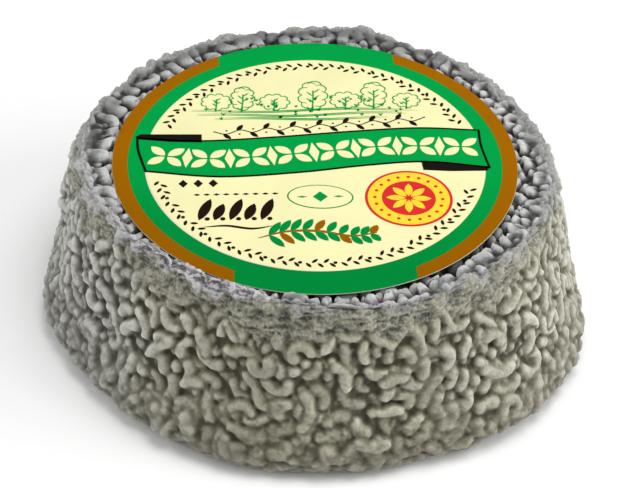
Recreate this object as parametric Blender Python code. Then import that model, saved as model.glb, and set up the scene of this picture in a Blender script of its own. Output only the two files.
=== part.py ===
"""A small ash-coated goat's milk cheese with a round paper label on top.

The cheese is one solid: a low, slightly flared drum with a raised, uneven rim round a shallow
recess, and a rind pushed up into close, rounded lumps. The label is a thin disc that rests on the
lumps of the recess. Z is up, the origin is on the surface it stands on, under the middle.
"""

import math

import bmesh
import bpy
import numpy as np
from mathutils import Vector, noise

MM = 0.001

# Driving dimensions, in millimetres
BASE_RADIUS = 46.2
BELLY_HEIGHT = 3.5
BASE_TUCK = 3.4
RIM_RADIUS = 37.2
RIM_HEIGHT = 27.4
SHOULDER_OUT = 1.7
SHOULDER_DROP = 3.1
RECESS_FLOOR = 25.9
MOAT_DROP = 0.6
LABEL_RADIUS = 33.0
LABEL_THICKNESS = 0.25
LABEL_TOP = 26.8
TOP_SHIFT = (-1.1, 0.3)

# Unevenness: how many lobes go round, how far they reach in millimetres, where the first one points
BASE_LOBES = ((2, 0.35, -77.0), (3, 0.65, -52.0), (4, 0.65, -38.0), (5, 0.65, -27.0))
RIM_LOBES = ((1, 1.2, 61.0), (2, 0.95, -28.0), (3, 0.7, 56.0), (4, 0.25, 3.0), (5, 0.3, -6.0))
RIM_HEIGHT_LOBES = ((1, 0.85, -128.0), (4, 0.2, 10.0))
SWELL_WAVES = 14
SWELL_REACH = 0.4

# Rind relief
LUMP_SIZE = 4.2
LUMP_REACH = 1.8
LABEL_CLEAR = 0.4
CALM_REACH = 2.0
SEED = 11

# Mesh fineness
STEPS_ROUND = 196
ROWS_BETWEEN = (2, 2, 5, 6, 7, 2, 1, 1, 2, 1)
LABEL_SIDES = 120


def lobes(angle, table):
    """How far the outline leaves the round at this angle, in millimetres."""
    return sum(reach * np.cos(count * (angle - math.radians(at))) for count, reach, at in table)


def section(angle):
    """The cut through the cheese at these angles, as radius and height from the base to the recess."""
    base = BASE_RADIUS + lobes(angle, BASE_LOBES)
    rim = RIM_RADIUS + lobes(angle, RIM_LOBES)
    top = RIM_HEIGHT + lobes(angle, RIM_HEIGHT_LOBES)
    shoulder = rim + SHOULDER_OUT
    ledge = rim - LABEL_RADIUS
    same = np.ones_like(angle)
    points = (
        (base - BASE_TUCK, 0.0 * same),
        (base - 0.3 * BASE_TUCK, 0.25 * BELLY_HEIGHT * same),
        (base, BELLY_HEIGHT * same),
        (base - 0.37 * (base - shoulder), 0.33 * top),
        (base - 0.65 * (base - shoulder), 0.6 * top),
        (shoulder, top - SHOULDER_DROP),
        (rim + 0.55 * SHOULDER_OUT, top - 0.22 * SHOULDER_DROP),
        (rim, top),
        (rim - 0.4 * ledge, top - 0.35 * (top - RECESS_FLOOR)),
        (rim - 0.8 * ledge, (RECESS_FLOOR - MOAT_DROP) * same),
        (LABEL_RADIUS - 2.0 * same, RECESS_FLOOR * same),
    )
    return np.array(points).transpose(0, 2, 1)


def through(points):
    """Smooth curves through the points of every section, as rows of points from the foot inwards."""
    ends = np.concatenate([[2 * points[0] - points[1]], points, [2 * points[-1] - points[-2]]])
    heading = ends[2:] - ends[:-2]
    heading /= np.linalg.norm(heading, axis=2, keepdims=True)
    rows = []
    for k, count in enumerate(ROWS_BETWEEN):
        start, end = points[k], points[k + 1]
        reach = np.linalg.norm(end - start, axis=1, keepdims=True)
        leave, arrive = reach * heading[k], reach * heading[k + 1]
        for t in np.arange(count) / count:
            ease = 3 * t**2 - 2 * t**3
            bend = (t**3 - 2 * t**2 + t) * leave + (t**3 - t**2) * arrive
            rows.append((1 - ease) * start + ease * end + bend)
    return np.array(rows + [points[-1]])


def swell(angle, height):
    """The slow swells that sagging leaves in the side, in millimetres."""
    rng = np.random.default_rng(SEED)
    total = np.zeros_like(angle)
    for _ in range(SWELL_WAVES):
        count, rise = rng.integers(4, 13), rng.uniform(-0.25, 0.25)
        total += np.cos(count * angle + rise * height + rng.uniform(0, 2 * math.pi))
    return SWELL_REACH * total / math.sqrt(SWELL_WAVES)


def lump(point):
    """How far the rind stands up here: a dome over the middle of each lump, with creases between."""
    nearest = noise.voronoi(Vector(point) / LUMP_SIZE)[0][0]
    return LUMP_REACH * (0.3 - nearest**2)


def outward(grid):
    """The outward direction at each point of a grid of rows and steps round."""
    up = np.gradient(grid, axis=0)
    round_ = np.roll(grid, -1, axis=1) - np.roll(grid, 1, axis=1)
    normal = np.cross(round_, up)
    return normal / np.linalg.norm(normal, axis=2, keepdims=True)


def rind():
    """Every point of the rind, row by row from the foot to the recess, in millimetres."""
    angle = np.linspace(0, 2 * math.pi, STEPS_ROUND, endpoint=False)
    outline = through(section(angle))
    radius, height = outline[..., 0], outline[..., 1]
    lean = np.clip(height / RIM_HEIGHT, 0, 1)
    x = radius * np.cos(angle) + TOP_SHIFT[0] * lean
    y = radius * np.sin(angle) + TOP_SHIFT[1] * lean
    grid = np.stack([x, y, height], axis=2)
    stands = np.array([[lump(point) for point in row] for row in grid])
    stands += swell(np.broadcast_to(angle, height.shape), height)
    stands *= np.clip(height / BELLY_HEIGHT, 0, 1)
    stands *= np.clip((radius - LABEL_RADIUS - LABEL_CLEAR) / CALM_REACH, 0, 1)
    return grid + outward(grid) * stands[..., None]


def object_from(bm, name, colour, roughness):
    """Turns a bmesh into a named object with its own material."""
    bmesh.ops.recalc_face_normals(bm, faces=bm.faces)
    mesh = bpy.data.meshes.new(name)
    bm.to_mesh(mesh)
    bm.free()
    obj = bpy.data.objects.new(name, mesh)
    bpy.context.scene.collection.objects.link(obj)
    material = bpy.data.materials.new(name)
    material.use_nodes = True
    shader = material.node_tree.nodes["Principled BSDF"]
    shader.inputs["Base Color"].default_value = (*colour, 1.0)
    shader.inputs["Roughness"].default_value = roughness
    shader.inputs["Metallic"].default_value = 0.0
    mesh.materials.append(material)
    return obj


def make_cheese(points):
    """A sleeve is spun with one row for each row of the rind, moved to the rind and closed flat."""
    bm = bmesh.new()
    line = [bm.verts.new((1, 0, row)) for row in range(len(points))]
    edges = [bm.edges.new(pair) for pair in zip(line, line[1:])]
    bmesh.ops.spin(
        bm, geom=line + edges, cent=(0, 0, 0), axis=(0, 0, 1), angle=2 * math.pi,
        steps=STEPS_ROUND, use_merge=True,
    )
    for vert in bm.verts:
        step = round(math.atan2(vert.co.y, vert.co.x) / (2 * math.pi) * STEPS_ROUND) % STEPS_ROUND
        vert.co = points[round(vert.co.z), step] * MM
    bmesh.ops.holes_fill(bm, edges=[e for e in bm.edges if e.is_boundary], sides=0)
    bmesh.ops.triangulate(bm, faces=[f for f in bm.faces if len(f.verts) > 4])
    cheese = object_from(bm, "cheese", (0.28, 0.28, 0.26), 0.85)
    cheese.data.shade_smooth()
    return cheese


def make_label(middle):
    """A paper disc, lying level over the recess, round this middle."""
    bm = bmesh.new()
    bmesh.ops.create_cone(
        bm, cap_ends=True, segments=LABEL_SIDES, radius1=LABEL_RADIUS * MM,
        radius2=LABEL_RADIUS * MM, depth=LABEL_THICKNESS * MM,
    )
    label = object_from(bm, "label", (0.97, 0.92, 0.5), 0.45)
    label.location = (middle[0] * MM, middle[1] * MM, (LABEL_TOP - LABEL_THICKNESS / 2) * MM)
    return label


def main():
    for obj in list(bpy.data.objects):
        bpy.data.objects.remove(obj)
    points = rind()
    centre = (points[..., :2].min(axis=(0, 1)) + points[..., :2].max(axis=(0, 1))) / 2
    points[..., :2] -= centre
    make_cheese(points)
    make_label(np.array(TOP_SHIFT) - centre)


main()
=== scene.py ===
# %% [markdown]
# # A small ash-coated goat's cheese
# The real thing is a disc of fresh goat curd, salted, dusted with ash and left to ripen. Its skin
# wrinkles into a crowd of little worms, the rim dries into grey felt, and a paper label is pressed
# into the shallow top. We load the imported model first, because the pieces are placed from it.

# %% Load the imported model
import math

import bmesh
import bpy
import numpy as np
from mathutils import Matrix, Vector


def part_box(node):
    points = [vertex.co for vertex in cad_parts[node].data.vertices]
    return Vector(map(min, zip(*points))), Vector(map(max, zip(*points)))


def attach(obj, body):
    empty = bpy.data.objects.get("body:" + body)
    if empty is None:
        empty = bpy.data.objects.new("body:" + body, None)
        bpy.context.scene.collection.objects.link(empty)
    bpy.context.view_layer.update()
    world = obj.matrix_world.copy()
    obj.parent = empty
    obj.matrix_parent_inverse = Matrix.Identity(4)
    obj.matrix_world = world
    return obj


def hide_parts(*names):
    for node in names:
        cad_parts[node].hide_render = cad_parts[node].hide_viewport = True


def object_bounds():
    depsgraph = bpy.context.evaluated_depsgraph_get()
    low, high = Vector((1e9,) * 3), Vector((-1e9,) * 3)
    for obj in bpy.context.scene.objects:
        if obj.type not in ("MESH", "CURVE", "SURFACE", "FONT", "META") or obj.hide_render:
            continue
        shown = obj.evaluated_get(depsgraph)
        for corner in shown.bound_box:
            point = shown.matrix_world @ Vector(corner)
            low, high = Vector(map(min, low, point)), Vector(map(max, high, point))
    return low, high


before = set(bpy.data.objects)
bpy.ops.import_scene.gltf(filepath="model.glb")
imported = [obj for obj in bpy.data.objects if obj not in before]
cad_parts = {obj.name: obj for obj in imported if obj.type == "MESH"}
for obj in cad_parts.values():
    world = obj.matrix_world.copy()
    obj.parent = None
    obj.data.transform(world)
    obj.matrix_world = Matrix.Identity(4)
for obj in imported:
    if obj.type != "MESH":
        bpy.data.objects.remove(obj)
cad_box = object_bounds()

MM = 0.001
label_low, label_high = (np.array(corner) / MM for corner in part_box("label"))
label_middle = (label_low + label_high)[:2] / 2
LABEL_RADIUS = (label_high[0] - label_low[0]) / 2
print("label radius", round(LABEL_RADIUS, 2), "mm, round", label_middle.round(2))
print("label top at", label_high[2].round(2), "mm")

# %% [markdown]
# ## Camera and light
# A product photograph: one long lens, looking down about 40 degrees, and very soft light from a big
# white room. A softbox above and a window at each side, the right one stronger, give the worms their
# round shading, and the pale floor throws light back up. The view transform is Standard, so that
# printed colours stay as they are inked.

# %% Camera
FOCAL_PX = 1900.0
PHOTO_WIDTH_PX = 629
SENSOR_MM = 36.0
EYE_MM = (-0.79, -244.15, 217.47)
LOOK_DOWN = math.radians(40.54)
CAMERA_ROLL = math.radians(1.768)
TOP_SHIFT = np.array((-1.1, 0.3))
foot_middle = label_middle - TOP_SHIFT


def add_camera():
    """The camera of the photograph, fitted from the label's circles and the outline."""
    forward = Vector((0, math.cos(LOOK_DOWN), -math.sin(LOOK_DOWN)))
    level_up = Vector((0, math.sin(LOOK_DOWN), math.cos(LOOK_DOWN)))
    right = Matrix.Rotation(-CAMERA_ROLL, 3, forward) @ Vector((1, 0, 0))
    up = Matrix.Rotation(-CAMERA_ROLL, 3, forward) @ level_up
    camera = bpy.data.objects.new("camera", bpy.data.cameras.new("camera"))
    camera.data.sensor_width = SENSOR_MM
    camera.data.lens = SENSOR_MM * FOCAL_PX / PHOTO_WIDTH_PX
    camera.data.clip_start = 0.01
    turned = Matrix((right, up, -forward)).transposed().to_4x4()
    eye = Vector(EYE_MM) + Vector((*foot_middle, 0))
    camera.matrix_world = Matrix.Translation(eye * MM) @ turned
    bpy.context.scene.collection.objects.link(camera)
    bpy.context.scene.camera = camera


add_camera()
print("lens", round(bpy.context.scene.camera.data.lens, 1), "mm")

# %% Helpers for materials


def linear(hex_colour):
    """An sRGB hex colour as the linear colour that shaders work with."""
    shades = [int(hex_colour[k:k + 2], 16) / 255 for k in (1, 3, 5)]
    return (*(s / 12.92 if s <= 0.04045 else ((s + 0.055) / 1.055) ** 2.4 for s in shades), 1.0)


def add_node(tree, kind, settings=None, **inputs):
    """Adds one node. A value that comes from another node is given as that node's output socket, and
    an input that shares its name with another one is given by its number, as in i0."""
    node = tree.nodes.new(kind)
    for name, value in (settings or {}).items():
        setattr(node, name, value)
    for name, value in inputs.items():
        numbered = name[0] == "i" and name[1:].isdigit()
        socket = node.inputs[int(name[1:]) if numbered else name]
        if isinstance(value, bpy.types.NodeSocket):
            tree.links.new(value, socket)
        else:
            socket.default_value = value
    return node


def new_material(name):
    """An empty material with a Principled shader, and its node tree."""
    material = bpy.data.materials.new(name)
    material.use_nodes = True
    tree = material.node_tree
    return material, tree, tree.nodes["Principled BSDF"]


# %% Studio
ROOM_STRENGTH = 0.41
FLOOR_REACH = 2.0
# Each lamp: name, place and width in metres, power in watts
LAMPS = (
    ("softbox above", (0.08, 0.0, 0.4), 0.28, 0.78),
    ("window right", (0.6, -0.05, 0.28), 0.5, 2.5),
    ("window left", (-0.6, -0.02, 0.3), 0.5, 1.4),
    ("fill in front", (0.0, -0.6, 0.35), 0.5, 0.05),
)


def add_room():
    """A white room, and a floor of matt paper, pale enough to light the foot from below."""
    bpy.context.scene.view_settings.view_transform = "Standard"
    world = bpy.data.worlds.new("white room")
    bpy.context.scene.world = world
    world.use_nodes = True
    walls = world.node_tree.nodes["Background"]
    walls.inputs["Color"].default_value = linear("#FFFFFF")
    walls.inputs["Strength"].default_value = ROOM_STRENGTH

    bm = bmesh.new()
    bmesh.ops.create_grid(bm, x_segments=1, y_segments=1, size=FLOOR_REACH)
    mesh = bpy.data.meshes.new("floor")
    bm.to_mesh(mesh)
    bm.free()
    floor = bpy.data.objects.new("floor", mesh)
    bpy.context.scene.collection.objects.link(floor)
    material, _, shader = new_material("white paper sweep")
    shader.inputs["Base Color"].default_value = linear("#FBFBFB")
    shader.inputs["Roughness"].default_value = 0.8
    mesh.materials.append(material)


def add_lamps():
    """Round soft lamps, all turned towards the cheese."""
    for name, place, size, power in LAMPS:
        light = bpy.data.lights.new(name, "AREA")
        light.shape = "DISK"
        light.size = size
        light.energy = power
        lamp = bpy.data.objects.new(name, light)
        lamp.location = place
        lamp.rotation_euler = (-Vector(place)).to_track_quat("-Z", "Y").to_euler()
        bpy.context.scene.collection.objects.link(lamp)


add_room()
add_lamps()
print("lamps:", ", ".join(name for name, *_ in LAMPS))

# %% [markdown]
# ## The body of the cheese
# The curd sags as it ripens: wide at the foot, drawn in at the shoulder, with a raised rim round a
# shallow top. It could be sculpted by hand, but a cut through the cheese that changes a little with
# the angle gives the same slumped outline from a few sizes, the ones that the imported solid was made
# from. Everything else is then relief on that smooth skin.

# %% Sizes of the body, in millimetres
BASE_RADIUS = 46.2
BELLY_HEIGHT = 3.5
BASE_TUCK = 3.4
RIM_RADIUS = 37.2
RIM_HEIGHT = 27.4
SHOULDER_OUT = 1.7
SHOULDER_DROP = 3.1
RECESS_FLOOR = 25.9
MOAT_DROP = 0.6
# Unevenness: how many lobes go round, how far they reach, and where in degrees the first one points
BASE_LOBES = ((2, 0.35, -77.0), (3, 0.65, -52.0), (4, 0.65, -38.0), (5, 0.65, -27.0))
RIM_LOBES = ((1, 1.2, 61.0), (2, 0.95, -28.0), (3, 0.7, 56.0), (4, 0.25, 3.0), (5, 0.3, -6.0))
RIM_HEIGHT_LOBES = ((1, 0.85, -128.0), (4, 0.2, 10.0))
# How far in from its edge the foot is flat, the same for the recess, and the last row round a middle
FOOT_MARGIN = 1.5
RECESS_MARGIN = 3.0
POLE = 0.8

STEPS_ROUND = 1200
SKIN_STEP = 0.2
FOOT_STEP = 0.6
HIDDEN_STEP = 1.2
angle = np.linspace(0, 2 * math.pi, STEPS_ROUND, endpoint=False)


def lobes(table):
    """How far the outline leaves the round at each angle."""
    return sum(reach * np.cos(count * (angle - math.radians(at))) for count, reach, at in table)


def section():
    """The cut through the cheese at every angle: radius and height, from under the foot to the top."""
    base = BASE_RADIUS + lobes(BASE_LOBES)
    rim = RIM_RADIUS + lobes(RIM_LOBES)
    top = RIM_HEIGHT + lobes(RIM_HEIGHT_LOBES)
    shoulder = rim + SHOULDER_OUT
    ledge = rim - LABEL_RADIUS
    same = np.ones_like(angle)
    points = (
        (POLE * same, 0.0 * same),
        (base - BASE_TUCK - FOOT_MARGIN, 0.0 * same),
        (base - BASE_TUCK, 0.0 * same),
        (base - 0.3 * BASE_TUCK, 0.25 * BELLY_HEIGHT * same),
        (base, BELLY_HEIGHT * same),
        (base - 0.37 * (base - shoulder), 0.33 * top),
        (base - 0.65 * (base - shoulder), 0.6 * top),
        (shoulder, top - SHOULDER_DROP),
        (rim + 0.55 * SHOULDER_OUT, top - 0.22 * SHOULDER_DROP),
        (rim, top),
        (rim - 0.4 * ledge, top - 0.35 * (top - RECESS_FLOOR)),
        (rim - 0.8 * ledge, (RECESS_FLOOR - MOAT_DROP) * same),
        (LABEL_RADIUS - RECESS_MARGIN * same, RECESS_FLOOR * same),
        (POLE * same, RECESS_FLOOR * same),
    )
    return np.array(points).transpose(0, 2, 1)


FOOT, BELLY, RIM, RECESS = 2, 4, 9, 12


def skin_rows():
    """The smooth skin as rows of points, and how far along the cut each row and named point lies."""
    points = section()
    ends = np.concatenate([[2 * points[0] - points[1]], points, [2 * points[-1] - points[-2]]])
    heading = ends[2:] - ends[:-2]
    heading /= np.linalg.norm(heading, axis=2, keepdims=True)
    rows, counts = [], []
    for k in range(len(points) - 1):
        start, end = points[k], points[k + 1]
        reach = np.linalg.norm(end - start, axis=1, keepdims=True)
        step = FOOT_STEP if k == 0 else HIDDEN_STEP if k == len(points) - 2 else SKIN_STEP
        count = max(2, round(reach.mean() / step))
        leave, arrive = reach * heading[k], reach * heading[k + 1]
        for t in np.arange(count) / count:
            ease = 3 * t**2 - 2 * t**3
            bend = (t**3 - 2 * t**2 + t) * leave + (t**3 - t**2) * arrive
            rows.append((1 - ease) * start + ease * end + bend)
        counts.append(count)
    rows = np.array(rows + [points[-1]])
    named = np.concatenate([[0], np.cumsum(counts)])
    along = np.linalg.norm(np.diff(rows, axis=0), axis=2).mean(axis=1)
    along = np.concatenate([[0], np.cumsum(along)])
    return rows, along, along[named]


rows, along, marks = skin_rows()
lean = np.clip(rows[..., 1] / RIM_HEIGHT, 0, 1)
skin = np.stack([
    rows[..., 0] * np.cos(angle) + foot_middle[0] + TOP_SHIFT[0] * lean,
    rows[..., 0] * np.sin(angle) + foot_middle[1] + TOP_SHIFT[1] * lean,
    rows[..., 1],
], axis=2)
up_step = np.gradient(skin, axis=0)
round_step = (np.roll(skin, -1, axis=1) - np.roll(skin, 1, axis=1)) / 2
outward = np.cross(round_step, up_step)
outward /= np.linalg.norm(outward, axis=2, keepdims=True)
up_gap = np.linalg.norm(up_step, axis=2)
round_gap = np.linalg.norm(round_step, axis=2)
named_places = [round(marks[k], 1) for k in (FOOT, BELLY, RIM, RECESS)]
print("skin grid", skin.shape[:2], "with foot, belly, rim and recess at", named_places, "mm")

# %% [markdown]
# ## The rind's worms
# The skin of this cheese buckles into short fat worms, about 2 mm thick, which curl, fork and pile
# up, with dark gaps between them. Noise alone gives blobs, so each worm is grown like a snail's
# track: it starts on free skin, wanders with a curl of its own, keeps clear of the tracks already
# laid, and stops when it is hemmed in. A half-round ridge is then raised along each track. A second,
# lower crowd fills the gaps, as the deeper folds do on the real rind.

# %% Worm sizes along the cut, in millimetres
rng = np.random.default_rng(7)
rim_at, foot_at, belly_at, recess_at = marks[RIM], marks[FOOT], marks[BELLY], marks[RECESS]
SIZE_PLACES = (0, foot_at, belly_at + 3, rim_at - 14, rim_at - 7, rim_at - 3, rim_at + 1, recess_at)
WORM_RADIUS = (1.15, 1.15, 1.1, 1.1, 0.92, 0.72, 0.86, 0.9)
FIRST_ROW = int(np.searchsorted(along, foot_at - 6.0))
LAST_ROW = int(np.searchsorted(along, recess_at - 1.0))

# The grains on top are fatter, longer and more upright at the left and back, the worms of the side
# are short lumps at the left, and the rim is thinnest at the right
LEFT_BACK, LUMPY, RIGHT = math.radians(150), math.radians(205), math.radians(12)
ROLL_SWELL = 0.3
SHORTEST_GRAIN = 0.3
LUMPY_SHORTENING = 0.4
towards_left = (1 + np.cos(angle - LEFT_BACK)) / 2
towards_lumpy = ((1 + np.cos(angle - LUMPY)) / 2) ** 3
towards_right = ((1 + np.cos(angle - RIGHT)) / 2) ** 3
on_top = along > rim_at
worm_radius = np.interp(along, SIZE_PLACES, WORM_RADIUS)[:, None] * np.ones_like(angle)
worm_radius[on_top] *= 1 + ROLL_SWELL * towards_left
grain_length = SHORTEST_GRAIN + (1 - SHORTEST_GRAIN) * towards_left
worm_length = np.where(on_top[:, None], grain_length, 1 - LUMPY_SHORTENING * towards_lumpy)
print("worms", (2 * worm_radius.min()).round(1), "to", (2 * worm_radius.max()).round(1), "mm thick")

# %% How a worm grows, and how it is raised
WORM_STEP = 0.22
CURL_LOW, CURL_HIGH = 0.15, 0.75
TURN_CHANCE = 0.06
SWERVES = (0.0, 0.6, -0.6, 1.3, -1.3, 2.2, -2.2)
UPRIGHT_SHARE, UPRIGHT_SPREAD = 0.75, 0.35
OWN_TAIL = 2.0
THICKNESS_RANGE = (0.88, 1.12)
KNUCKLES, KNUCKLE_TURN = 0.17, 1.9
GROOVE = 1.13
GROOVE_DEPTHS = (0.35, 0.9)
STARTS_AT_ONCE = 60
BARREN = 0.3
LEAST_UP_GAP, LEAST_ROUND_GAP = 0.05, 0.02


def place_on_skin(row, col):
    """The point of the smooth skin at a place between its rows and columns."""
    i, j = int(row), int(col // 1) % STEPS_ROUND
    down, across = row - i, col % 1
    this, following = skin[i:i + 2, j], skin[i:i + 2, (j + 1) % STEPS_ROUND]
    low, high = this * (1 - across) + following * across
    return low * (1 - down) + high * down


def patch(row, col, reach):
    """The rows and columns of the skin round a place, and how far each of their points is from it."""
    i, j = int(row), int(col // 1)
    up = int(reach / max(up_gap[i, j % STEPS_ROUND], LEAST_UP_GAP)) + 2
    side = int(reach / max(round_gap[i, j % STEPS_ROUND], LEAST_ROUND_GAP)) + 2
    side = min(side, STEPS_ROUND // 2 - 1)
    i_range = np.arange(max(i - up, 0), min(i + up + 1, len(skin)))
    j_range = np.arange(j - side, j + side + 1) % STEPS_ROUND
    near = skin[np.ix_(i_range, j_range)]
    return np.ix_(i_range, j_range), np.linalg.norm(near - place_on_skin(row, col), axis=2)


def grow(taken, row, col, longest, spacing):
    """One worm's track as a list of places, a step apart, from this start until it is hemmed in."""
    heading = rng.uniform(0, 2 * math.pi)
    if rng.random() < UPRIGHT_SHARE * towards_left[int(col) % STEPS_ROUND] ** 2:
        heading = rng.choice((-1, 1)) * math.pi / 2 + rng.normal(0, UPRIGHT_SPREAD)
    curl = rng.uniform(CURL_LOW, CURL_HIGH) * rng.choice((-1, 1))
    track, spots = [(row, col)], [skin[int(row), int(col) % STEPS_ROUND]]
    for _ in range(int(longest / WORM_STEP)):
        if rng.random() < TURN_CHANCE:
            curl = rng.uniform(CURL_LOW, CURL_HIGH) * rng.choice((-1, 1))
        for swerve in SWERVES:
            turned = heading + (curl + swerve) * WORM_STEP
            i, j = int(row), int(col // 1) % STEPS_ROUND
            new_row = row + math.sin(turned) * WORM_STEP / up_gap[i, j]
            new_col = col + math.cos(turned) * WORM_STEP / round_gap[i, j]
            if not FIRST_ROW < new_row < LAST_ROW:
                continue
            i, j = int(new_row), int(new_col // 1) % STEPS_ROUND
            if taken[i, j]:
                continue
            older = spots[: -int(OWN_TAIL * spacing / WORM_STEP)]
            if older and np.linalg.norm(np.array(older) - skin[i, j], axis=1).min() < spacing:
                continue
            break
        else:
            break
        row, col, heading = new_row, new_col, turned
        track.append((row, col))
        spots.append(skin[i, j])
    return track


def raise_ridge(track, thick, crest, shade):
    """Cuts a narrow groove round a track, in whatever lies there, and raises a rounded ridge in it."""
    thick *= rng.uniform(*THICKNESS_RANGE)
    turns = [KNUCKLE_TURN * k * WORM_STEP + 2 * math.pi * shade for k in range(len(track))]
    swollen = [thick * (1 + KNUCKLES * math.sin(turn)) for turn in turns]
    groove_floor = crest - thick * rng.uniform(*GROOVE_DEPTHS)
    for (row, col), reach in zip(track, swollen):
        cells, far = patch(row, col, GROOVE * reach)
        lowered = np.minimum(relief[cells], groove_floor)
        relief[cells] = np.where(far < GROOVE * reach, lowered, relief[cells])
    for (row, col), reach in zip(track, swollen):
        cells, far = patch(row, col, reach)
        ridge = crest + np.sqrt(np.clip(reach**2 - far**2, 0, None)) - reach
        higher = (far < reach) & (ridge > relief[cells])
        relief[cells] = np.where(higher, ridge, relief[cells])
        tint[cells] = np.where(higher, shade, tint[cells])


def lay_worms(taken, spacing_share, radius_share, top, top_spread, lengths, shortest):
    """Grows worms on the free skin until none of this length fits any more."""
    tried = taken.copy()
    count = 0
    while True:
        free = np.flatnonzero(~tried[FIRST_ROW:LAST_ROW])
        if not len(free):
            return count
        for start in rng.permutation(free)[:STARTS_AT_ONCE]:
            row, col = divmod(int(start), STEPS_ROUND)
            row += FIRST_ROW
            if tried[row, col]:
                continue
            size = worm_radius[row, col]
            spacing = 2 * size * spacing_share
            longest = rng.uniform(*lengths) * size * worm_length[row, col]
            track = grow(taken, row, col, longest, spacing)
            if len(track) * WORM_STEP < shortest * size:
                cells, far = patch(row, col, BARREN * spacing)
                tried[cells] |= far < BARREN * spacing
                continue
            crest = (top + rng.normal(0, top_spread)) * size
            raise_ridge(track, size * radius_share, crest, rng.random())
            for place in track[::2]:
                cells, far = patch(*place, spacing)
                taken[cells] |= far < spacing
                tried[cells] |= far < spacing
            count += 1


# %% Grow the worms
GAP_DEPTH = 0.9
BARE_TINT = 0.4
relief = -GAP_DEPTH * worm_radius
tint = np.full(skin.shape[:2], BARE_TINT)
# Each crowd: name, spacing, thickness, height of its crests and its spread, lengths, the shortest
# that is kept, all as shares of the worm's size in that place
CROWDS = (
    ("deepest", 0.8, 0.8, -0.42, 0.1, (0.6, 2.0), 0.0),
    ("below", 0.84, 0.88, -0.12, 0.15, (1.6, 4.0), 1.0),
    ("long", 0.93, 0.97, 0.28, 0.2, (2.6, 6.8), 2.2),
    ("between", 0.93, 0.9, 0.12, 0.2, (1.6, 3.4), 0.0),
    ("on top", 2.2, 0.95, 0.6, 0.12, (3.0, 6.5), 2.5),
)
taken = np.zeros(skin.shape[:2], bool)
for name, spacing, thickness, top, top_spread, lengths, shortest in CROWDS:
    if name != "between":
        taken = np.zeros_like(taken)
    print("worms", name, lay_worms(taken, spacing, thickness, top, top_spread, lengths, shortest))

# %% [markdown]
# ## Felt, frost, ash and foot
# Near the top edge the mould has dried into a felt that hides the worms: fine streaks and folds with
# a ragged crest, frosted pale at the left. These are random fields smoothed to a real size in
# millimetres, which is quick when done on the skin's own grid. The foot has been pressed on a board,
# so the worms there are lower and worn, and nothing reaches below the board.

# %% Random fields on the skin
MEAN_RADIUS = 42.0
GRID_ROUND = 2 * math.pi * MEAN_RADIUS / STEPS_ROUND


def haze(size_round, size_up, slant=0.0):
    """A smooth random field with features of this size in millimetres, closed round the cheese."""
    field = rng.normal(size=skin.shape[:2])
    up = np.fft.fftfreq(field.shape[0])[:, None] * size_up / SKIN_STEP
    sideways = np.fft.rfftfreq(field.shape[1]) * size_round / GRID_ROUND
    field = np.fft.irfft2(np.fft.rfft2(field) * np.exp(-2 * (up**2 + sideways**2)), s=field.shape)
    if slant:
        field = np.array([np.roll(row, int(slant * k)) for k, row in enumerate(field)])
    return field / field.std()


def ease(low, high, value):
    """Rises smoothly from 0 at the low value to 1 at the high one."""
    t = np.clip((value - low) / (high - low), 0, 1)
    return t * t * (3 - 2 * t)


def blur(field):
    """Softens a field a little, by the average of each point and its neighbours."""
    field = (np.roll(field, 1, axis=1) + 2 * field + np.roll(field, -1, axis=1)) / 4
    padded = np.concatenate([field[:1], field, field[-1:]])
    return (padded[:-2] + 2 * padded[1:-1] + padded[2:]) / 4


# %% Soften the worms
# Places on the rim and side are in millimetres along the cut from the rim's crest, minus downwards
FINE_GRAIN = 0.045
GRAIN_RISE, LESS_RISE_AT_RIGHT = 1.2, 0.5
WORN_FROM, WORN_TO = -17.0, -22.0
WORN_SHARE = 0.45
from_rim = along[:, None] - rim_at
lumpy = haze(3.0, 2.5)
relief = blur(relief) + FINE_GRAIN * haze(0.45, 0.45)
beside_label = ease(1.4, 3.2, from_rim)
grain_rise = GRAIN_RISE - LESS_RISE_AT_RIGHT * towards_right
relief += beside_label * (grain_rise * ease(-0.5, 0.1, relief) + 0.1)
worn = ease(WORN_FROM, WORN_TO, from_rim + 2.2 * haze(7, 5))
board_marks = 0.12 * haze(1.6, 1.2) + 0.05 * haze(0.5, 0.5) - 0.05
relief = relief * (1 - WORN_SHARE * worn) + worn * board_marks
print("relief of the worms from", relief.min().round(2), "to", relief.max().round(2), "mm")

# %% Lay the felt
FELTED = math.radians(285)
FELT_START, FELT_END = -3.6, 0.5
DEEPER_IN_FRONT, SHALLOWER_AT_RIGHT = 3.0, 3.4
RAGGED_START, RAGGED_END = 1.1, 0.5
FOLD_SHARPNESS = 1.3
STREAKED, CRUMPLED, LUMPED, NAPPED = 0.15, 0.09, 0.38, 0.07
WORMS_HIDDEN = 0.7
SKIN_SINK = 0.18
CREST_LIMIT, CREST_SQUEEZE = 0.4, 0.8
towards_felt = (1 + np.cos(angle - FELTED)) / 2
felt_start = FELT_START - DEEPER_IN_FRONT * towards_felt**2 + SHALLOWER_AT_RIGHT * towards_right
felt_start = felt_start + RAGGED_START * haze(6, 60)
felt_end = FELT_END + RAGGED_END * haze(3, 60)
felt = ease(felt_start - 1.3, felt_start + 0.8, from_rim)
felt = felt * (1 - ease(felt_end - 0.4, felt_end + 0.5, from_rim))
streaks = 1 - FOLD_SHARPNESS * np.abs(haze(2.8, 0.62, slant=0.9))
crumples = 1 - FOLD_SHARPNESS * np.abs(haze(0.9, 0.8))
nap = STREAKED * streaks + CRUMPLED * crumples + LUMPED * lumpy + NAPPED * haze(0.4, 0.4) - 0.05
relief = relief * (1 - WORMS_HIDDEN * felt) + nap * felt
relief -= SKIN_SINK
too_high = (relief > CREST_LIMIT) & (from_rim < 0)
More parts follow.
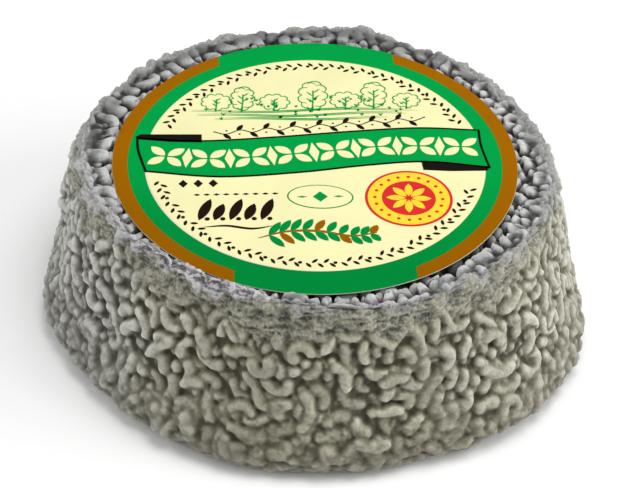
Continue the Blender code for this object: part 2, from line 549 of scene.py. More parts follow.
relief = np.where(too_high, CREST_LIMIT + CREST_SQUEEZE * (relief - CREST_LIMIT), relief)
print("felt covers", round(100 * float(felt.mean())), "% of the grid")

# %% Frost, ash and the hidden part of the foot
FROSTED, FRONT_LEFT = math.radians(222), math.radians(238)
CREST_DROP = 0.55
FROST_START, FROST_DEEPER, RAGGED_FROST = -0.2, 2.5, 0.6
NEIGHBOURHOOD = 12
towards_frost = ease(0.66, 0.9, np.cos(angle - FROSTED))
front_left = (1 + np.cos(angle - FRONT_LEFT)) / 2
relief -= CREST_DROP * front_left**2 * ease(-2.5, -0.5, from_rim) * (1 - ease(1.5, 3.0, from_rim))
frost_start = FROST_START - FROST_DEEPER * towards_frost + RAGGED_FROST * haze(2.0, 60)
frost = ease(frost_start - 0.5, frost_start + 0.6, from_rim)
frost = frost * (1 - ease(1.0, 2.4, from_rim + 0.5 * haze(1.5, 1.5)))
frost *= 0.2 + 0.8 * towards_frost + 0.35 * (1 - towards_frost) * towards_felt**6
ash = ease(-2.5, -0.3, from_rim + 2.0 * ease(-0.7, 0.2, np.sin(angle)) + 0.8 * haze(1.5, 1.2))
hidden = 1 - ease(foot_at - 7.0, foot_at - 5.0, along)
relief = relief * (1 - hidden[:, None]) + 0.08 * haze(6, 6) * hidden[:, None]
around = relief
for _ in range(NEIGHBOURHOOD):
    around = blur(around)
proud = relief - around
print("relief from", relief.min().round(2), "to", relief.max().round(2), "mm")
print("proud of the neighbours by", np.percentile(proud, (2, 50, 98)).round(2), "mm")

# %% [markdown]
# ## Swells, and the gap round the label
# As the curd sags, its side swells slowly in and out. The imported solid has these swells, so they are
# worked out the same way here. In front the rind stops just short of the paper and leaves a narrow
# gap, so the grains are lowered along that edge, and the same mask paints the place nearly black as a
# painted shadow. Last, every point is kept inside the packed model's box and below the label.

# %% Swells of the side, and the gap
SWELL_WAVES = 14
SWELL_REACH = 0.4
SWELL_SEED = 11
LABEL_CLEAR = 0.4
CALM_REACH = 2.0
MOAT_DEPTH = 0.5
SLACK = 0.06
BELOW_LABEL, PAST_LABEL = 0.1, 0.2


def swell(height):
    """The slow swells that sagging leaves in the side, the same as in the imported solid."""
    draw = np.random.default_rng(SWELL_SEED)
    total = np.zeros_like(height)
    for _ in range(SWELL_WAVES):
        count, rise = draw.integers(4, 13), draw.uniform(-0.25, 0.25)
        total += np.cos(count * angle + rise * height + draw.uniform(0, 2 * math.pi))
    return SWELL_REACH * total / math.sqrt(SWELL_WAVES)


radius, height = rows[..., 0], rows[..., 1]
slow = swell(height) * np.clip(height / BELLY_HEIGHT, 0, 1)
slow *= np.clip((radius - LABEL_RADIUS - LABEL_CLEAR) / CALM_REACH, 0, 1)
from_label = np.linalg.norm(skin[..., :2] - label_middle, axis=2) - LABEL_RADIUS
# This mask lowers the grains beside the label's front edge, and the rind's finish paints the same place
# nearly black as a painted shadow.
moat_and_shadow = 1 - ease(0.2, 0.75, from_label + 0.1 * haze(1.5, 0.8))
moat_and_shadow = moat_and_shadow * ease(-0.15, -0.7, np.sin(angle)) * (height > BELLY_HEIGHT)
points = skin + outward * (relief + slow - MOAT_DEPTH * moat_and_shadow)[..., None]
box_low, box_high = (np.array(corner) / MM for corner in cad_box)
points = np.clip(points, box_low + (SLACK, SLACK, 0), box_high - SLACK)
under_label = np.linalg.norm(points[..., :2] - label_middle, axis=2) < LABEL_RADIUS + PAST_LABEL
lowered = np.minimum(points[..., 2], label_low[2] - BELOW_LABEL)
points[..., 2] = np.where(under_label, lowered, points[..., 2])
print("rind", (points.max(axis=(0, 1)) - points.min(axis=(0, 1))).round(1), "mm")

# %% [markdown]
# ## The rind as one mesh
# So far the skin is a table of points. A flat grid is the simplest mesh that fits it: its points
# move to the skin, and its edges are joined where they meet. What the finish needs to know, such as
# how proud a point stands, is kept on the points. Last the mesh is thinned where the skin is smooth.

# %% Wrap a grid into the rind
MAX_TRIANGLES = 196000
SEAM_GAP = 0.0005
points[0] = points[0].mean(axis=0)
points[-1] = points[-1].mean(axis=0)
KEPT_FIELDS = {
    "proud": proud,
    "height": relief,
    "felt": felt,
    "tint": tint,
    "frost": frost,
    "ash": ash,
    "beside_label": np.broadcast_to(beside_label, relief.shape),
    "moat_and_shadow": moat_and_shadow,
}


def over_grid(mesh, field):
    """The field's value for each vertex of a flat grid mesh, whose last column repeats the first."""
    place = np.empty(len(mesh.vertices) * 3, np.float32)
    mesh.vertices.foreach_get("co", place)
    across, up = ((place.reshape(-1, 3)[:, :2] + 1) / 2).T
    row = np.rint(up * (len(field) - 1)).astype(int)
    return field[row, np.rint(across * STEPS_ROUND).astype(int) % STEPS_ROUND]


def wrapped_grid():
    """The whole skin as one closed mesh, with what its finish needs to know kept on its points."""
    mesh = bpy.data.meshes.new("rind")
    bm = bmesh.new()
    bmesh.ops.create_grid(bm, x_segments=STEPS_ROUND, y_segments=len(points) - 1, size=1)
    bm.to_mesh(mesh)
    bm.free()
    for name, field in KEPT_FIELDS.items():
        values = over_grid(mesh, field).astype(np.float32)
        mesh.attributes.new(name, "FLOAT", "POINT").data.foreach_set("value", values)
    mesh.vertices.foreach_set("co", (over_grid(mesh, points) * MM).astype(np.float32).ravel())
    bm = bmesh.new()
    bm.from_mesh(mesh)
    border = [vert for vert in bm.verts if vert.is_boundary]
    bmesh.ops.remove_doubles(bm, verts=border, dist=SEAM_GAP * MM)
    bmesh.ops.recalc_face_normals(bm, faces=bm.faces)
    bm.to_mesh(mesh)
    bm.free()
    return mesh


def make_rind(mesh):
    """The mesh as a piece, thinned to about MAX_TRIANGLES triangles, with nothing below the board."""
    rind = bpy.data.objects.new("rind", mesh)
    bpy.context.scene.collection.objects.link(rind)
    mesh.calc_loop_triangles()
    thin = rind.modifiers.new("fewer triangles", "DECIMATE")
    thin.ratio = min(1.0, MAX_TRIANGLES / len(mesh.loop_triangles))
    thin.use_collapse_triangulate = True
    thinned = bpy.data.meshes.new_from_object(rind.evaluated_get(bpy.context.evaluated_depsgraph_get()))
    rind.modifiers.clear()
    rind.data = thinned
    bpy.data.meshes.remove(mesh)
    thinned.name = "rind"
    place = np.empty(len(thinned.vertices) * 3, np.float32)
    thinned.vertices.foreach_get("co", place)
    place[2::3] = np.maximum(place[2::3], 0)
    thinned.vertices.foreach_set("co", place)
    thinned.shade_smooth()
    return rind


rind = make_rind(wrapped_grid())
print("rind:", len(rind.data.polygons), "triangles,", [a.name for a in rind.data.attributes])

# %% [markdown]
# ## Rind material
# The skin is a living mould, soft and quite matt: greyish olive on the side, where the curd shows
# through, neutral grey on top, where the ash is thickest, and almost white where the mould grows as a
# fringe on the rim. Painting it by hand would be slow, so it is laid on in coats, as a table: each
# coat says what decides where it goes, from which value to which, how strongly, and its colour. What
# decides is either the relief that was kept on the points, so that gaps are dark, partly for the ash
# in them and partly as painted shade, and crests pale as painted highlight, or noise at the real size
# of the patches and of the nap.

# %% Coats of the mould-ripened, ash-dusted rind
NOISE_SIZES_MM = {"patches": (14.0, 3.0), "mottle": (3.0, 4.0), "speckle": (0.45, 3.0), "nap": (0.35, 3.0)}
# What decides is a noise, a value kept on the points, or the place in metres: left is X, behind is Y
# and low is Z
RIND_COATS = {
    "worm": ("#ABA99A", (
        ("patches", 0.38, 0.62, 1.0, "#BFBBA6"),
        ("tint", 0.2, 1.0, 0.5, "#D2D0BE"),
        ("mottle", 0.5, 0.7, 0.25, "#8F8D7B"),
        ("left", -0.008, -0.038, 0.85, "#D2D2CD"),
        # Painted light: worms towards the right, past about 14 mm, are painted paler.
        ("left", 0.014, 0.040, 0.55, "#D6D4CA"),
    )),
    "ashy worm": ("#8C8C8B", (
        ("mottle", 0.35, 0.65, 1.0, "#AEAEAC"),
        ("tint", 0.3, 1.0, 0.65, "#D4D4D3"),
        ("left", 0.0, -0.040, 0.3, "#6E6E6E"),
        # Painted light: the ashy top is painted paler towards the right.
        ("left", 0.018, 0.038, 0.35, "#E2E2E0"),
        ("behind", 0.018, 0.036, 0.8, "#5A5A5A"),
        ("beside_label", 0.2, 1.0, 0.4, "#D6D6D4"),
    )),
    "crest": ("worm", (("ash", 0.0, 1.0, 1.0, "ashy worm"),)),
    # The flank is a darker copy of the worm colour: painted shade on the sides of the worms.
    "flank": ("#7B7862", (("left", -0.020, -0.044, 0.8, "#80807C"), ("ash", 0.0, 1.0, 1.0, "#6C6C6B"))),
    # The gap colour is partly the ash lying between the worms and partly painted shade.
    "gap": ("#48442F", (
        ("left", -0.020, -0.044, 0.8, "#444441"),
        ("ash", 0.0, 1.0, 1.0, "#2C2C2B"),
        # Painted shade: on the top beside the label the gaps are painted nearly black.
        ("beside_label", 0.2, 1.0, 0.6, "#171615"),
    )),
    # In the felt and the fringe, proud places are painted paler and folds darker: painted highlight and
    # shade.
    "felt": ("#605F53", (
        ("proud", -0.2, 0.16, 1.0, "#94927F"),
        ("ash", 0.2, 1.0, 0.8, "#929293"),
        ("speckle", 0.5, 0.62, 0.35, "#C6C5BC"),
    )),
    "fringe": ("#7B7A7C", (
        ("proud", -0.08, 0.14, 1.0, "#C4C2C5"),
        ("speckle", 0.5, 0.62, 0.45, "#E4E2E6"),
        ("left", -0.022, -0.034, 0.6, "#A4A4A0"),
    )),
    "rind": ("flank", (
        # Painted highlight and shade: proud crests get the pale crest colour, and deeper worms and sunken
        # places get the dark gap colour.
        ("proud", -0.14, 0.36, 1.0, "crest"),
        ("height", 0.1, -0.35, 0.22, "gap"),
        ("height", -0.35, -0.85, 1.0, "gap"),
        ("proud", -0.12, -0.42, 1.0, "gap"),
        ("felt", 0.1, 0.9, 0.9, "felt"),
        ("frost", 0.15, 0.8, 0.95, "fringe"),
        ("low", 0.013, 0.0, 0.42, "#4A4636"),
        ("speckle", 0.46, 0.32, 0.25, "#4A4945"),
        # Painted shadow: nearly black along the label's front edge.
        ("moat_and_shadow", 0.0, 1.0, 0.75, "#1D1C1B"),
    )),
}


def dusted_rind():
    """Matt grey mould: pale crests as painted highlight, dark gaps as ash and painted shade, olive side,
    grey top and a nearly white fringe.
    """
    material, tree, shader = new_material("ash dusted mould rind")
    place = add_node(tree, "ShaderNodeTexCoord").outputs["Object"]
    apart = add_node(tree, "ShaderNodeSeparateXYZ", Vector=place)
    deciders = {"left": apart.outputs["X"], "behind": apart.outputs["Y"], "low": apart.outputs["Z"]}
    for name, (size, detail) in NOISE_SIZES_MM.items():
        grains = add_node(tree, "ShaderNodeTexNoise", Vector=place, Scale=1 / (size * MM), Detail=detail)
        deciders[name] = grains.outputs["Fac"]
    for name in KEPT_FIELDS:
        deciders[name] = add_node(tree, "ShaderNodeAttribute", {"attribute_name": name}).outputs["Fac"]

    paints = {}
    for paint, (ground, coats) in RIND_COATS.items():
        colour = paints.get(ground) or linear(ground)
        for decider, start, full, strength, over in coats:
            share = add_node(
                tree, "ShaderNodeMapRange", {"interpolation_type": "SMOOTHSTEP"}, Value=deciders[decider],
                **{"From Min": start, "From Max": full, "To Max": strength},
            )
            coat = add_node(
                tree, "ShaderNodeMix", {"data_type": "RGBA"}, Factor=share.outputs["Result"], i6=colour,
                i7=paints.get(over) or linear(over),
            )
            colour = coat.outputs[2]
        paints[paint] = colour
    tree.links.new(paints["rind"], shader.inputs["Base Color"])

    bump = add_node(tree, "ShaderNodeBump", Strength=0.9, Distance=0.2 * MM, Height=deciders["nap"])
    tree.links.new(bump.outputs["Normal"], shader.inputs["Normal"])
    roughness = {"From Min": 0.3, "From Max": 0.7, "To Min": 0.78, "To Max": 0.95}
    matt = add_node(tree, "ShaderNodeMapRange", Value=deciders["nap"], **roughness)
    tree.links.new(matt.outputs["Result"], shader.inputs["Roughness"])
    shader.inputs["Sheen Weight"].default_value = 0.2
    shader.inputs["Sheen Roughness"].default_value = 0.6
    shader.inputs["Subsurface Weight"].default_value = 0.15
    shader.inputs["Subsurface Radius"].default_value = (1.0, 0.9, 0.7)
    shader.inputs["Subsurface Scale"].default_value = 0.8 * MM
    return material


rind.data.materials.append(dusted_rind())
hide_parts("cheese")
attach(rind, "root")

# %% [markdown]
# ## Paper label
# A round of coated paper, printed in a few flat inks. A picture of the print would be quick, but it
# would be one flat image. Here each ink is a set of very thin plates, a few hundredths of a
# millimetre above the paper, cut from simple shapes: rings, ribbons, leaves, lozenges and strokes.
# Everything is placed in millimetres from the label's middle.

# %% Paper round
INK_ROOM = 0.10
PAPER_TOP = label_high[2] - INK_ROOM
INK_STEP = 0.016
INK_ROOT = 0.04
EDGE_ROUNDING = 0.04
LEVEL_WITHIN = 0.01
LABEL_SIDES = 240
CLOUD_MM, FIBRE_MM = 9, 0.25
ROUGHNESS_SPREAD = 0.06


def keep(bm, name, material):
    """Turns a bmesh, in millimetres, into a piece of the label."""
    bmesh.ops.scale(bm, vec=(MM, MM, MM), verts=bm.verts)
    bmesh.ops.recalc_face_normals(bm, faces=bm.faces)
    mesh = bpy.data.meshes.new(name)
    bm.to_mesh(mesh)
    bm.free()
    piece = bpy.data.objects.new(name, mesh)
    bpy.context.scene.collection.objects.link(piece)
    mesh.materials.append(material)
    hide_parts("label")
    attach(piece, "root")
    return piece


def printed_paper(name, hex_colour, roughness, front_share=1.0):
    """Coated label paper: flat ink, faintly cloudy, darker towards the front by as much as its front share
    says, softly shiny over the fibres."""
    material, tree, shader = new_material(name)
    place = add_node(tree, "ShaderNodeTexCoord").outputs["Object"]
    cloud = add_node(tree, "ShaderNodeTexNoise", Vector=place, Scale=1 / (CLOUD_MM * MM), Detail=3.0)
    fibres = add_node(tree, "ShaderNodeTexNoise", Vector=place, Scale=1 / (FIBRE_MM * MM), Detail=2.0)
    fibre = fibres.outputs["Fac"]
    cloudy = add_node(
        tree, "ShaderNodeMapRange", Value=cloud.outputs["Fac"],
        **{"From Min": 0.3, "From Max": 0.7, "To Min": 0.96, "To Max": 1.03},
    )
    apart = add_node(tree, "ShaderNodeSeparateXYZ", Vector=place)
    front = add_node(
        tree, "ShaderNodeMapRange", {"interpolation_type": "SMOOTHSTEP"}, Value=apart.outputs["Y"],
        **{"From Min": -0.030, "From Max": 0.004, "To Min": front_share},
    )
    shade = add_node(
        tree, "ShaderNodeMath", {"operation": "MULTIPLY"}, i0=cloudy.outputs["Result"],
        i1=front.outputs["Result"],
    )
    ink = add_node(tree, "ShaderNodeHueSaturation", Color=linear(hex_colour), Value=shade.outputs["Value"])
    tree.links.new(ink.outputs["Color"], shader.inputs["Base Color"])
    rough = add_node(
        tree, "ShaderNodeMapRange", Value=fibre,
        **{"To Min": roughness - ROUGHNESS_SPREAD, "To Max": roughness + ROUGHNESS_SPREAD},
    )
    tree.links.new(rough.outputs["Result"], shader.inputs["Roughness"])
    bump = add_node(tree, "ShaderNodeBump", Strength=0.12, Distance=0.02 * MM, Height=fibre)
    tree.links.new(bump.outputs["Normal"], shader.inputs["Normal"])
    shader.inputs["IOR"].default_value = 1.48
    shader.inputs["Specular IOR Level"].default_value = 0.015
    return material


def make_paper():
    """The bare round of white paper, with a slightly softened cut edge."""
    bm = bmesh.new()
    depth = PAPER_TOP - label_low[2]
    bmesh.ops.create_cone(
        bm, cap_ends=True, segments=LABEL_SIDES, radius1=LABEL_RADIUS, radius2=LABEL_RADIUS, depth=depth,
        matrix=Matrix.Translation((*label_middle, label_low[2] + depth / 2)),
    )
    rims = [edge for edge in bm.edges if abs(edge.verts[0].co.z - edge.verts[1].co.z) < LEVEL_WITHIN]
    bmesh.ops.bevel(
        bm, geom=rims, offset=EDGE_ROUNDING, segments=2, profile=0.5, affect="EDGES", material=-1,
    )
    return keep(bm, "label_paper", printed_paper("uncoated paper edge", "#DCD5C2", 0.55))


make_paper()
print("paper", round(2 * LABEL_RADIUS, 1), "mm across")

# %% [markdown]
# ## Inks
# The label is printed in seven flat inks, one over the other. Each ink is one piece here, made of
# plates that a few small functions cut: any outline, a ring, a pen stroke, an oval, a leaf and a
# lozenge. A later ink lies a sixtieth of a millimetre higher, so it hides the one below, as in print.

# %% Inks and how to print with them
# Each ink: colour, roughness, and the share of its brightness that is left at the front edge
INKS = {
    "cream": ("#EBE6B0", 0.5, 1.0),
    "green": ("#009842", 0.45, 0.67),
    "brown": ("#985E00", 0.48, 0.85),
    "black": ("#17130F", 0.45, 1.0),
    "dark": ("#20140C", 0.5, 1.0),
    "yellow": ("#F6D038", 0.48, 1.0),
    "red": ("#D22E30", 0.48, 1.0),
}
FINEST_TIP = 0.08
inks = {colour: bmesh.new() for colour in INKS}


def plate(colour, outline, level):
    """Prints one shape: its outline on the paper becomes a thin closed plate, higher for a later ink."""
    bm = inks[colour]
    low = PAPER_TOP - INK_ROOT
    corners = [(label_middle[0] + u, label_middle[1] + v, low) for u, v in outline]
    face = bm.faces.new([bm.verts.new(corner) for corner in corners])
    lifted = bmesh.ops.extrude_face_region(bm, geom=[face])["geom"]
    verts = [item for item in lifted if isinstance(item, bmesh.types.BMVert)]
    bmesh.ops.translate(bm, verts=verts, vec=(0, 0, INK_ROOT + level * INK_STEP))


def ring(colour, inner, outer, level):
    """Prints a ring, by spinning its cut once round."""
    bm = inks[colour]
    low, high = PAPER_TOP - INK_ROOT, PAPER_TOP + level * INK_STEP
    middle = Vector((*label_middle, 0))
    corners = ((inner, 0, low), (outer, 0, low), (outer, 0, high), (inner, 0, high))
    verts = [bm.verts.new(middle + Vector(corner)) for corner in corners]
    edges = [bm.edges.new((verts[k], verts[(k + 1) % 4])) for k in range(4)]
    bmesh.ops.spin(
        bm, geom=verts + edges, cent=middle, axis=(0, 0, 1), angle=2 * math.pi,
        steps=LABEL_SIDES, use_merge=True,
    )


def smooth(corners, pieces=6):
    """A smooth line through a few places on the label."""
    corners = np.array(corners)
    ends = [2 * corners[0] - corners[1], *corners, 2 * corners[-1] - corners[-2]]
    line = []
    for a, b, c, d in zip(ends, ends[1:], ends[2:], ends[3:]):
        for t in np.arange(pieces) / pieces:
            place = 2 * b + (c - a) * t
            place = place + (2 * a - 5 * b + 4 * c - d) * t**2 + (3 * b - a - 3 * c + d) * t**3
            line.append(0.5 * place)
    return np.array(line + [corners[-1]])


def stroke(colour, line, width, level, taper=0.0):
    """Prints a pen stroke along a line, pointed at its ends where it is tapered."""
    ahead = np.gradient(line, axis=0)
    ahead /= np.linalg.norm(ahead, axis=1, keepdims=True)
    side = ahead[:, ::-1] * (-1, 1)
    pressure = 1 - taper * np.linspace(-1, 1, len(line)) ** 2
    reach = side * (width / 2 * np.maximum(pressure, FINEST_TIP))[:, None]
    plate(colour, [*(line + reach), *(line - reach)[::-1]], level)


def pointing(heading):
    """One millimetre in the direction of a heading in degrees."""
    return np.array((math.cos(math.radians(heading)), math.sin(math.radians(heading))))


def turned(outline, heading):
    """An outline turned round its origin by a heading in degrees."""
    c, s = pointing(heading)
    return outline @ np.array(((c, s), (-s, c)))


def oval(middle, across, up, sides=32):
    """An ellipse's outline."""
    turn = np.linspace(0, 2 * math.pi, sides, endpoint=False)
    return np.stack([middle[0] + across * np.cos(turn), middle[1] + up * np.sin(turn)], axis=1)


def leaf(root, length, width, heading, fullness=1.0, sides=9):
    """A pointed leaf from its root, in the direction of the heading."""
    t = np.linspace(0, 1, sides)
    half = width / 2 * np.sin(math.pi * t) ** fullness
    there, back = np.stack([t * length, half], 1), np.stack([t * length, -half], 1)[-2:0:-1]
    return np.array(root) + turned(np.concatenate([there, back]), heading)


def lozenge(middle, across, up, heading):
    """A diamond, as wide and high as given, turned by the heading."""
    corners = np.array(((across, 0), (0, up), (-across, 0), (0, -up))) / 2
    return np.array(middle) + turned(corners, heading)


# %% [markdown]
# ## Fields of colour
# The label's edge is a green ring with a brown arc at each side, and its middle is cream, printed a
# little off centre. The ring is spun. The arcs are outlines with straight ends, slightly askew.

# %% Fields of colour
CREAM_RADIUS, RING_INNER, RING_OUTER, ARC_INNER = 27.9, 27.8, 32.97, 30.5
CREAM_SLIP = (0.3, 0.28)
TOP_CUT, BOTTOM_CUT = 15.2, 13.9
ART_TURN = 4.4
art = Matrix.Rotation(math.radians(ART_TURN), 2)


def side_arc(side):
    """The outline of one brown arc, cut off by straight lines at its upper and lower end."""
    outline = []
    for reach, order in ((RING_OUTER, 1), (ARC_INNER, -1)):
        turns = np.linspace(math.acos(TOP_CUT / reach), -math.acos(BOTTOM_CUT / reach), 60)[::order]
        outline += [art @ Vector((side * reach * math.cos(turn), reach * math.sin(turn))) for turn in turns]
    return outline


plate("cream", oval(CREAM_SLIP, CREAM_RADIUS, CREAM_RADIUS, 160), 0.5)
ring("green", RING_INNER, RING_OUTER, 1)
for side in (-1, 1):
    plate("brown", side_arc(side), 2)
print("ring", RING_INNER, "to", RING_OUTER, "mm from the middle")

# %% [markdown]
# ## Ribbon
# A green ribbon swings across the middle, outlined in black, with a dark fold at each end. It is the
# plate between two smooth lines. Along a third one, flowers of four leaves and lozenges take turns.

# %% Ribbon across the middle
OUTLINE_PEN = 0.42
RIBBON_TOP = ((-29.4, 4.0), (-19.0, 3.7), (-6.0, 5.5), (6.0, 7.6), (17.0, 9.1), (27.0, 9.0))
RIBBON_BOTTOM = ((-27.2, -4.7), (-15.2, -5.5), (-2.4, -3.7), (8.0, -1.4), (18.0, 0.1), (28.3, -0.9))
RIBBON_ENDS = (((-29.4, 4.2), (-28.9, 0.5), (-27.2, -4.9)), ((27.0, 9.2), (27.3, 4.5), (28.4, -1.1)))
RIBBON_FOLDS = (
    ((-29.7, 4.3), (-28.9, 5.0), (-18.9, 5.5), (-18.7, 3.3), (-24.0, 3.2), (-29.3, 3.6)),
    ((17.3, 0.2), (23.0, -0.1), (28.6, -0.7), (27.9, -1.8), (22.0, -2.2), (17.6, -2.1)),
)
MOTIF_LINE = ((-26.0, -0.6), (-15.0, -0.8), (0.0, 1.7), (12.0, 3.9), (25.6, 4.4))
MOTIFS = 15
PETAL_HEADINGS = (40, 140, 220, 320)
PETAL_GAP = 0.3


def spaced(line, count):
    """Evenly spaced places along a line, and the line's direction there in degrees."""
    length = np.concatenate([[0], np.cumsum(np.linalg.norm(np.diff(line, axis=0), axis=1))])
    places = np.linspace(0.5, count - 0.5, count) / count * length[-1]
    spots = np.stack([np.interp(places, length, line[:, 0]), np.interp(places, length, line[:, 1])], axis=1)
    ahead = np.gradient(spots, axis=0)
    return zip(spots, np.degrees(np.arctan2(ahead[:, 1], ahead[:, 0])))


ribbon_top, ribbon_bottom = smooth(RIBBON_TOP), smooth(RIBBON_BOTTOM)
plate("green", [*ribbon_top, *ribbon_bottom[::-1]], 3)
for line in (ribbon_top, ribbon_bottom, *(smooth(end) for end in RIBBON_ENDS)):
    stroke("black", line, OUTLINE_PEN, 4)
for fold in RIBBON_FOLDS:
    plate("black", fold, 4)
for k, (spot, tilt) in enumerate(spaced(smooth(MOTIF_LINE, 40), MOTIFS)):
    if k % 2:
        plate("cream", lozenge(spot, 1.7, 5.2, tilt), 4)
        continue
    for petal in PETAL_HEADINGS:
        root = spot + PETAL_GAP * pointing(petal + tilt)
        plate("cream", leaf(root, 3.3, 1.7, petal + tilt, 0.8), 4)
print("ribbon", round(float(np.ptp(ribbon_top[:, 0])), 1), "mm long with", MOTIFS, "motifs")

# %% [markdown]
# ## Garland and vine
# Small dark leaves run round the edge of the cream field, and a vine follows the ribbon's upper
# edge. One leaf shape does for both: it is splayed out and in by turns, with a berry now and then.

# %% Leaves round the edge and a vine over the ribbon
GARLAND_RING = 25.9
GARLAND_STEP = 2.0
GARLAND_ARCS = ((24, 163), (196, 346))
GARLAND_SPLAY, VINE_SPLAY = 48, 52
BERRY_EVERY = 6
VINE_START, VINE_END, VINE_GAP = -17, 19, 2.2
VINE_HEIGHT, VINE_RISE, VINE_HEADING = 5.9, 0.168, 9.5
VINE_WAVE = 0.45
VINE_PEN = 0.22


def garland(start, end):
    """Small leaves that point along the edge of the cream field, by turns on its outer and inner side."""
    for k, at in enumerate(np.arange(start, end, GARLAND_STEP)):
        spot = GARLAND_RING * pointing(at)
        splay = GARLAND_SPLAY if k % 2 else -GARLAND_SPLAY
        if k % BERRY_EVERY == BERRY_EVERY - 1:
            plate("dark", oval(spot, 0.33, 0.33, 10), 2)
        else:
            plate("dark", leaf(spot, 1.35, 0.55, at + 90 + splay, 0.7, 6), 2)


for arc in GARLAND_ARCS:
    garland(*arc)
vine_places = [
    (u, VINE_HEIGHT + VINE_RISE * (u - VINE_START) + VINE_WAVE * (-1) ** k)
    for k, u in enumerate(np.arange(VINE_START, VINE_END, VINE_GAP))
]
vine = smooth(vine_places, 4)
stroke("dark", vine, VINE_PEN, 2)
for k, at in enumerate(range(3, len(vine) - 2, 4)):
    side = 1 if k % 2 else -1
    plate("dark", leaf(vine[at], 1.9, 0.85, VINE_HEADING + side * VINE_SPLAY, 0.8), 2)
    plate("dark", oval(vine[at] + (0.5, -0.9 * side), 0.2, 0.2, 8), 2)
print("vine of", len(vine_places), "bends")

# %% [markdown]
# ## Meadow
# Above the ribbon lies a meadow in thin green pen lines: low hills, round trees and tufts of grass.
# The trees differ a little in place and size, by chance, so that the row doesn't look ruled.

# %% A meadow with trees
GROUND_LEAN = 0.077
# Each hill: height, start, end and wave
HILLS = ((10.8, -17, 12, 0.3), (11.9, -20, 15, 0.35), (13.1, -21, 17, 0.3))
HILL_WIDTH = 4.2
BROAD_PEN, FINE_PEN = 0.26, 0.22
TREES, TREE_GAP = 7, 5.4
SCALLOPS = 9
SCALLOP_TURNS = (-1.4, -0.5, 0.5, 1.4)
TUFTS = 44


def ground(u, rise):
    """A place on the meadow, as high above the ribbon as the rise says."""
    return np.array((u, rise + GROUND_LEAN * u))


def draw_tree(root, tall, wide):
    """A tree in pen lines: a trunk, a crown of scallops and four twigs."""
    stroke("green", np.array((root, root + (0.06, tall / 2), root + (0.0, 0.8 * tall))), BROAD_PEN, 3)
    crown = root + (0.0, 0.62 * tall)
    for scallop in range(SCALLOPS):
        turn = 2 * math.pi * scallop / SCALLOPS
        edge = crown + np.array((wide * math.cos(turn), 0.38 * tall * math.sin(turn)))
        bend = [edge + 0.17 * tall * pointing(math.degrees(turn + more)) for more in SCALLOP_TURNS]
        stroke("green", smooth(bend, 3), FINE_PEN, 3, taper=0.5)
    for branch in range(4):
        fork = root + (0.0, tall * (0.35 + 0.12 * branch))
        plate("green", leaf(fork, 0.22 * tall, 0.24, 48 if branch % 2 else 132, 0.8, 5), 4)


for rise, start, end, wave in HILLS:
    for shift in (0.0, 0.35):
        across = np.linspace(start, end - 3 * shift, 14)
        path = [ground(u, rise + shift + wave * math.sin(u / HILL_WIDTH + rise)) for u in across]
        stroke("green", smooth(path, 4), BROAD_PEN, 2, taper=0.9)
for k in range(TREES):
    root = ground(-17.5 + TREE_GAP * k + rng.uniform(-0.8, 0.8), 12.6 + rng.uniform(0, 1.2))
    tall = rng.uniform(6.0, 7.8) if k % 2 else rng.uniform(3.6, 4.8)
    draw_tree(root, tall, 0.17 * tall if k % 2 else 0.45 * tall)
for _ in range(TUFTS):
    root = ground(rng.uniform(-19, 15), rng.uniform(10.4, 16.5))
    for heading in (68, 90, 114):
        plate("green", leaf(root, rng.uniform(0.6, 1.1), 0.2, heading, 1.0, 5), 2)
print("meadow with", TREES, "trees and", TUFTS, "tufts")

# %% [markdown]
# ## Barley ears and rows of lozenges
# Below the ribbon, at the left, ears of barley lean over a line of ground, with small lozenges in
# rows above them. Each row is one shape, stepped along a slight slope.

# %% Barley ears and rows of lozenges
for k in range(5):
    plate("dark", leaf((-17.9 + 2.45 * k, -16.6 + 0.15 * k), 5.6 - 1.3 * (k % 2), 1.7, 74, 0.75), 2)
    plate("dark", oval((-16.6 + 2.45 * k, -16.2 + 0.15 * k), 0.42, 0.42, 12), 2)
soil = smooth(((-17.0, -18.2), (-13.5, -17.7), (-9.5, -18.2), (-6.4, -17.4)))
stroke("dark", soil, 0.5, 2, taper=0.8)
for k in range(3):
    plate("dark", lozenge((-21.0 + 2.4 * k, -7.6 + 0.18 * k), 1.5, 2.0, 4), 2)
for k in range(9):
    plate("dark", lozenge((-18.6 + 1.55 * k, -10.3 + 0.12 * k), 1.15, 0.55, 4), 2)
print("5 ears, 12 lozenges")

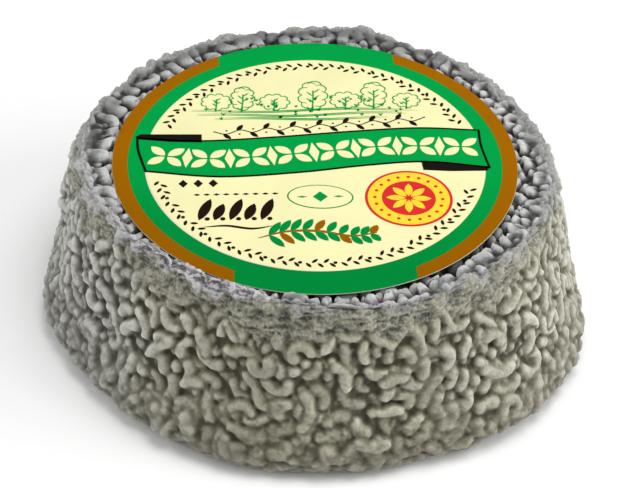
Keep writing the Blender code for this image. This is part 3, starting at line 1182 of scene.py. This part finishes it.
# %% [markdown]
# ## Rosette and oval
# A round rosette in red and yellow is the label's brightest spot, and beside it stands a thin green
# oval with a lozenge in it. Both are ovals laid over each other, one ink at a time.

# %% Rosette and oval
ROSETTE_MIDDLE = np.array((15.1, -9.5))
DISCS = (("red", 7.0, 64, 2), ("yellow", 6.55, 64, 3), ("red", 4.3, 48, 4))
DOTS, DOT_RING = 20, 5.4
PETALS = 8
OVAL_MIDDLE = np.array((1.0, -9.8))
for colour, reach, sides, level in DISCS:
    plate(colour, oval(ROSETTE_MIDDLE, reach, reach, sides), level)
for k in range(DOTS):
    plate("red", oval(ROSETTE_MIDDLE + DOT_RING * pointing(360 * k / DOTS), 0.3, 0.3, 10), 4)
for k in range(PETALS):
    heading = 360 * k / PETALS
    plate("yellow", leaf(ROSETTE_MIDDLE + 0.5 * pointing(heading), 3.1, 1.3, heading, 0.8), 5)

plate("green", oval(OVAL_MIDDLE, 5.3, 3.0, 48), 2)
plate("cream", oval(OVAL_MIDDLE, 5.05, 2.78, 48), 3)
plate("green", lozenge(OVAL_MIDDLE, 2.4, 2.6, 4), 4)
for side in (-1, 1):
    plate("green", lozenge(OVAL_MIDDLE + (side * 2.9, side * 0.2), 1.8, 0.5, 4), 4)
print("rosette of", PETALS, "petals and", DOTS, "dots")

# %% [markdown]
# ## Sprig
# A leafy sprig lies along the bottom: pairs of leaves, smaller towards the tip, on a smooth stem.

# %% Leafy sprig
stem = smooth(((-8.4, -20.4), (-4.0, -18.6), (1.0, -18.3), (6.0, -19.2), (10.0, -18.2)), 8)
stroke("brown", stem, 0.55, 2, taper=0.7)
for k, at in enumerate(range(3, len(stem) - 1, 3)):
    for side in (-1, 1):
        colour = "brown" if (k + side) % 5 == 0 else "green"
        plate(colour, leaf(stem[at], 3.7 - 0.15 * k, 1.3, side * 55 + 8, 0.75), 3)
print("sprig with", 2 * (k + 1), "leaves")

# %% Keep the inks
for colour, (hex_colour, roughness, front_share) in INKS.items():
    ink = printed_paper(colour + " ink on coated paper", hex_colour, roughness, front_share)
    piece = keep(inks[colour], "print_" + colour, ink)
    print(piece.name, len(piece.data.polygons), "faces")
